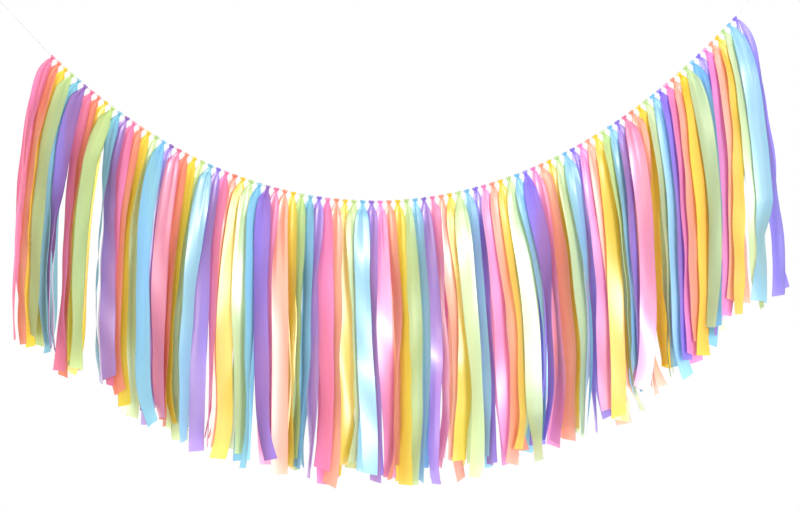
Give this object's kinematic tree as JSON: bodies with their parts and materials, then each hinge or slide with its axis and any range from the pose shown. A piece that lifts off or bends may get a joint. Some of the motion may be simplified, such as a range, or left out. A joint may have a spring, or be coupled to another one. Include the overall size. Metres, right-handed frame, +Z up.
{
  "type": "ribbon highchair banner",
  "caption": "Hanging garland of satin ribbons in six pastel colours, each knotted by its middle to one string with a loop at each end.",
  "frame": {"origin": "crown of the left hanging loop, on its centre line", "axes": "+X along the garland from its left end to its right end, +Y from the front to the back, +Z up"},
  "size_m": [1.2103, 0.0854, 0.7618],
  "materials": {
    "pink_satin": "satin ribbon, one glossy face",
    "coral_satin": "satin ribbon, one glossy face",
    "yellow_satin": "satin ribbon, one glossy face",
    "green_satin": "satin ribbon, one glossy face",
    "blue_satin": "satin ribbon, one glossy face",
    "purple_satin": "satin ribbon, one glossy face",
    "string_cotton": "thin twisted cotton string"
  },
  "bodies": {
    "root": {"repeat_01_pink_coral": "pink_satin", "repeat_01_yellow_green": "yellow_satin", "repeat_01_blue_purple": "blue_satin", "repeat_02_pink_coral": "coral_satin", "repeat_02_yellow_green": "green_satin", "repeat_02_blue_purple": "purple_satin", "repeat_03_pink_coral": "pink_satin", "repeat_03_yellow_green": "yellow_satin", "repeat_03_blue_purple": "blue_satin", "repeat_04_pink_coral": "coral_satin", "repeat_04_yellow_green": "green_satin", "repeat_04_blue_purple": "purple_satin", "repeat_05_pink_coral": "pink_satin", "repeat_05_yellow_green": "yellow_satin", "repeat_05_blue_purple": "blue_satin", "repeat_06_pink_coral": "coral_satin", "repeat_06_yellow_green": "green_satin", "repeat_06_blue_purple": "purple_satin", "repeat_07_pink_coral": "pink_satin", "repeat_07_yellow_green": "yellow_satin", "repeat_07_blue_purple": "blue_satin", "repeat_08_pink_coral": "coral_satin", "repeat_08_yellow_green": "green_satin", "repeat_08_blue_purple": "purple_satin", "repeat_09_pink_coral": "pink_satin", "repeat_09_yellow_green": "yellow_satin", "repeat_09_blue_purple": "blue_satin", "repeat_10_pink_coral": "coral_satin", "repeat_10_yellow_green": "green_satin", "repeat_10_blue_purple": "purple_satin", "repeat_11_pink_coral": "pink_satin", "repeat_11_yellow_green": "yellow_satin", "repeat_11_blue_purple": "blue_satin", "repeat_12_pink_coral": "coral_satin", "repeat_12_yellow_green": "green_satin", "repeat_12_blue_purple": "purple_satin", "repeat_13_pink_coral": "pink_satin", "repeat_13_yellow_green": "yellow_satin", "repeat_13_blue_purple": "blue_satin", "repeat_14_pink_coral": "coral_satin", "repeat_14_yellow_green": "green_satin", "repeat_14_blue_purple": "purple_satin", "repeat_15_pink_coral": "pink_satin", "repeat_15_yellow_green": "yellow_satin", "repeat_15_blue_purple": "blue_satin", "string": "string_cotton", "left_tie": "string_cotton", "right_tie": "string_cotton", "left_loop": "string_cotton", "right_loop": "string_cotton"}
  },
  "joints": []
}
